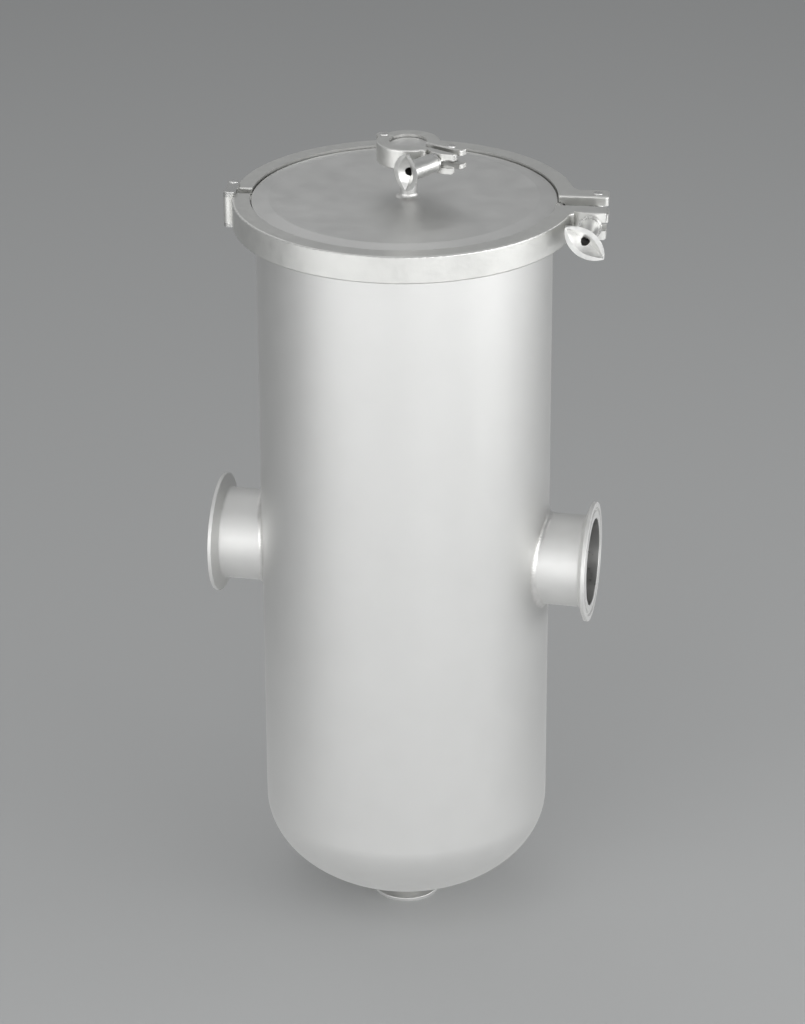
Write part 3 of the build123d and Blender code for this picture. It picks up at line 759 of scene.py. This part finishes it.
# %% Vent
lid_top, vent_tube_top, vent_weld = lid_low + lid_thick, vent_face - small_length, 3.0
vent_tube_outline = np.array([(vent_bore, lid_top), (vent_radius, lid_top),
                              (vent_radius, vent_tube_top), (vent_bore, vent_tube_top)])
make_piece("vent_pipe", [placed(turned(vent_tube_outline, 96), (vent_x, 0, 0))], "vessel",
           "blasted", ["vent_tube"])
vent_bead = small_bead(vent_radius, vent_weld, lid_top, 1)
make_piece("vent_bead", [placed(vent_bead, (vent_x, 0, 0))], "vessel", "weld",
           ["vent_weld"])

gasket_thick, cap_thick = 2.0, 4.1
cap_flat = vent_rim - (cap_thick - small_edge) / taper
cap_outline = rounded([(0, 0), (vent_rim, 0), (vent_rim, small_edge), (cap_flat, cap_thick),
                       (0, cap_thick)], [0, 0.4, 0.4, 0.8, 0])
cap = placed(turned(cap_outline, 96), (vent_x, 0, vent_face + gasket_thick))
make_piece("vent_blank", [cap], "vessel", "lid", ["vent_cap"])

# %% Drain
drain_radius, drain_weld, drain_weld_top = 14.5, 2.5, 19.9
drain_outline = ferrule_outline(rim=25.25, edge=small_edge, tube=drain_radius,
                                wall=drain_radius - drain_bore, length=21.0, bead=21.75)
drain_collar = placed(turned(drain_outline, 128), (0, 0, 0), (1, 0, 0), (0, 0, -1))
make_piece("drain_collar", [drain_collar], "vessel", "plate", ["drain_ferrule"])
drain_bead = small_bead(drain_radius, drain_weld, drain_weld_top, -1, ripples=44)
make_piece("drain_bead", [drain_bead], "vessel", "weld", ["drain_weld"])

# %% [markdown]
# ## Hinged clamps
# Both clamps are alike: two half rings with a groove that pulls the joint together, a hinge on
# one side, and on the other a swing bolt that drops into forked lugs. The castings keep their CAD
# form. The bolt, washer and pins are turned pieces, made here with the small rounds and threads
# that CAD leaves out. A clamp has its own frame: X towards the bolt, Z up.

# %% Sizes of the two clamps
clamps = {
    "lid_clamp": dict(
        angle=5.5, centre=(0.0, 0.0, 574.2), half_height=10.43, pin_radius=2.5,
        bolt_pin=(141.3, 17.0), bearing=42.0, lean=4.0, eye_radius=6.4, eye_width=6.5,
        washer=(8.6, 1.8), nut_length=33.0, wing_depth=10.5,
        hinge_pins=(("rear", (-127.6, 11.0)), ("front", (-127.6, -11.0))), hinge_reach=12.98,
    ),
    "vent_clamp": dict(
        angle=-25.0, centre=(vent_x, 0.0, 620.03), half_height=7.5, pin_radius=2.0,
        bolt_pin=(33.5, 7.3), bearing=18.4, lean=6.0, eye_radius=5.0, eye_width=6.3,
        washer=(6.8, 1.4), nut_length=29.0, wing_depth=7.757,
        hinge_pins=(("", (-22.0, 0.0)),), hinge_reach=7.5,
    ),
}


washer_gap, nut_gap, thread_recess, hole_gap = 0.3, 0.15, 6.0, 0.15


def clamp_frame(c, local, x_axis=(1, 0, 0), z_axis=(0, 0, 1)):
    """Origin, X axis and Z axis of a place in a clamp, turned and moved onto the separator."""
    cosine, sine = np.cos(np.radians(c["angle"])), np.sin(np.radians(c["angle"]))
    spin = np.array([[cosine, sine, 0], [-sine, cosine, 0], [0, 0, 1]])
    origin = np.array(local, float) @ spin + np.array(c["centre"])
    return origin, np.array(x_axis, float) @ spin, np.array(z_axis, float) @ spin


def bolt_line(c, distance=0.0):
    """A frame on the leaning bolt, at a distance from its pin, with Z looking outwards."""
    lean = np.radians(c["lean"])
    outward = np.array([-np.sin(lean), -np.cos(lean), 0])
    across = np.array([np.cos(lean), -np.sin(lean), 0])
    return clamp_frame(c, np.array([*c["bolt_pin"], 0]) + outward * distance, across, outward)


print("pins:", {name: 1 + len(c["hinge_pins"]) for name, c in clamps.items()})


# %% [markdown]
# A screw thread is a ridge that climbs by one pitch in each turn. At a height z and an angle a, the
# place in the ridge's section is z / pitch - a / 360 degrees, so one formula gives the radius of
# the whole rod. The ridge fades into a plain shank near the eye and into a chamfer at the end.

# %% A threaded rod
thread_pitch, thread_depth, bolt_radius, end_chamfer = 1.0, 0.6, 3.0, 0.7


def threaded_rod(start, thread_start, end, segments=28, rows_per_turn=8):
    """A closed rod along Z whose radius follows the thread's section."""
    steps = np.arange(thread_start, end, thread_pitch / rows_per_turn)
    height = np.concatenate([[start], steps, [end]])
    angle = np.linspace(0, 2 * np.pi, segments, endpoint=False)
    phase = (height[:, None] / thread_pitch - angle / (2 * np.pi)) % 1.0
    ridge = np.clip(1.35 - 2.7 * np.abs(2 * phase - 1), 0, 1)
    fade = np.clip((height - thread_start) / thread_pitch, 0, 1)[:, None]
    radius = bolt_radius - thread_depth * (1 - ridge) * fade
    radius = np.minimum(radius, (bolt_radius - end_chamfer + end - height)[:, None])
    rod = np.stack([radius * np.cos(angle), radius * np.sin(angle), height[:, None] + 0 * angle], -1)
    low, high = rod[:1] * [0, 0, 1], rod[-1:] * [0, 0, 1]
    rows = np.concatenate([low, rod, high])
    return rows.reshape(-1, 3), lattice(len(rows), segments, close_rows=False)


# %% [markdown]
# The bolt is the rod and an eye round the pin. It ends inside the nut, a little below the valley
# between the nut's wings, so the hole in the nut looks dark.

# %% Swing bolts
for name, c in clamps.items():
    nut_at = c["bearing"] + washer_gap + nut_gap + c["washer"][1]
    rod_end = nut_at + c["nut_length"] - c["wing_depth"] - thread_recess
    rod = threaded_rod(c["eye_radius"] - 1.5, c["bearing"] - 8.0, rod_end)
    half_eye, bore = c["eye_width"] / 2, c["pin_radius"] + hole_gap
    eye_outline = rounded([(bore, -half_eye), (c["eye_radius"], -half_eye),
                           (c["eye_radius"], half_eye), (bore, half_eye)], [0.2, 0.8, 0.8, 0.2])
    eye = placed(turned(eye_outline, 64), *clamp_frame(c, (*c["bolt_pin"], 0)))
    make_piece(name + "_eye_bolt", [placed(rod, *bolt_line(c)), eye], name + "_bolt",
               "fastener", [name + "_swing_bolt"])

# %% [markdown]
# Washers and riveted pins are small turned pieces. The pins' heads are low domes, peened over the
# edge of their holes.

# %% Washers and pins
def pin_outline(radius, reach, head=0.9, extra=1.2):
    """Half of a riveted pin's section, from one dome to the other."""
    dome = np.linspace(0, np.pi / 2, 7)
    top = np.stack([(radius + extra) * np.sin(dome), reach + head * np.cos(dome) ** 0.7], -1)
    half = np.concatenate([top, [(radius + extra, reach), (radius, reach)]])
    return np.concatenate([half, half[::-1] * [1, -1]])


def rivet(c, name, place, reach, body, node_name):
    """One pin at a place in a clamp, reaching equally far up and down."""
    pin = turned(pin_outline(c["pin_radius"], reach), 48)
    make_piece(name, [placed(pin, *clamp_frame(c, (*place, 0)))], body, "fastener",
               [node_name])


for name, c in clamps.items():
    outer, thick = c["washer"]
    inner = bolt_radius + hole_gap
    ring = rounded([(inner, 0), (outer, 0), (outer, thick), (inner, thick)], [0.15, 0.3, 0.3, 0.15])
    washer = placed(turned(ring, 72), *bolt_line(c, c["bearing"] + washer_gap))
    make_piece(name + "_flat_washer", [washer], name + "_washer_seat", "fastener",
               [name + "_washer"])
    rivet(c, name + "_bolt_rivet", c["bolt_pin"], c["half_height"], "vessel", name + "_bolt_pin")
    for which, at in c["hinge_pins"]:
        label = name + "_" + (which + "_" if which else "")
        body = "lid_clamp_link" if which else "vessel"
        rivet(c, label + "hinge_rivet", at, c["hinge_reach"], body, label + "hinge_pin")

# %% [markdown]
# ## Wing nuts
# The wing nuts are castings, and a casting has no sharp edges. Their CAD meshes are copied, points
# that fall together are merged, flat faces are joined, and a bevel rounds every edge sharper than
# the crease angle. The faces that look at the bolt's line from close by are the thread in the
# nut's bore. They get a near-black colour, painted shade, so the hole shows as a dark dot.

# %% A merged copy of a casting, and the faces in its bore that get painted shade
import bmesh

bore_reach, bore_depth, edge_width, crease = 3.3, 2.0, 0.0006, np.radians(28.0)


def merged_copy(node_name, name):
    """A copy of a CAD node's mesh with its points merged and its flat faces joined."""
    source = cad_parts[node_name]
    mesh = source.data.copy()
    mesh.name = name
    mesh.transform(source.matrix_world)
    form = bmesh.new()
    form.from_mesh(mesh)
    bmesh.ops.remove_doubles(form, verts=form.verts, dist=2e-6)
    bmesh.ops.dissolve_limit(form, angle_limit=np.radians(0.5), verts=form.verts, edges=form.edges)
    form.to_mesh(mesh)
    form.free()
    mesh.polygons.foreach_set("use_smooth", np.ones(len(mesh.polygons), bool))
    mesh.set_sharp_from_angle(angle=crease)
    return mesh


def shaded_bore_faces(mesh, origin, outward):
    """True for each face whose middle is near the bore's line and whose normal points at it:
    the way from the line to the face, times the normal, is then well below zero."""
    away = np.array([face.center for face in mesh.polygons]) / MM - origin
    away -= np.outer(away @ outward, outward)
    facing = np.array([face.normal for face in mesh.polygons])
    return (np.linalg.norm(away, axis=1) < bore_reach) & ((away * facing).sum(1) < -bore_depth)


# %% The cast nuts with rounded edges
for name, c in clamps.items():
    nut_mesh = merged_copy(name + "_wing_nut", name + "_cast_nut")
    origin, _, outward = bolt_line(c)
    in_shaded_bore = shaded_bore_faces(nut_mesh, origin, outward)
    nut_mesh.materials.clear()
    nut_mesh.materials.append(finishes["nut"])
    # The thread finish is near black: painted shade in the nut's hole.
    nut_mesh.materials.append(finishes["thread"])
    nut_mesh.polygons.foreach_set("material_index", in_shaded_bore.astype(np.int32))
    nut = bpy.data.objects.new(name + "_cast_nut", nut_mesh)
    scene.collection.objects.link(nut)
    edge_round = nut.modifiers.new("edge_round", "BEVEL")
    edge_round.width = edge_width
    edge_round.segments = 3
    edge_round.limit_method = "ANGLE"
    edge_round.angle_limit = crease
    edge_round.harden_normals = True
    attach(nut, name + "_nut")
    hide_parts(name + "_wing_nut")
    print(f"{nut.name}: {len(nut_mesh.polygons)} faces before the bevel, {in_shaded_bore.sum()} in the bore")

# %% [markdown]
# ## Finishes for the pieces that keep their CAD form
# The clamp halves have rounded edges in the CAD model already, and the plates inside the pot and
# the gaskets are plain. They only get a finish.

# %% Finishes on the CAD nodes
cad_finishes = {
    "cast": ["lid_clamp_rear_half", "lid_clamp_front_half", "vent_clamp_rear_half",
             "vent_clamp_front_half"],
    "fastener": ["lid_clamp_upper_link", "lid_clamp_lower_link"],
    "plate": ["baffle_plate", "baffle_brackets", "inlet_deflector", "vortex_breaker"],
    "silicone": ["lid_gasket", "vent_gasket"],
}
for finish, names in cad_finishes.items():
    for node_name in names:
        for material_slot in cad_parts[node_name].material_slots:
            material_slot.material = finishes[finish]
print("CAD nodes that keep their form:", sum(len(names) for names in cad_finishes.values()))
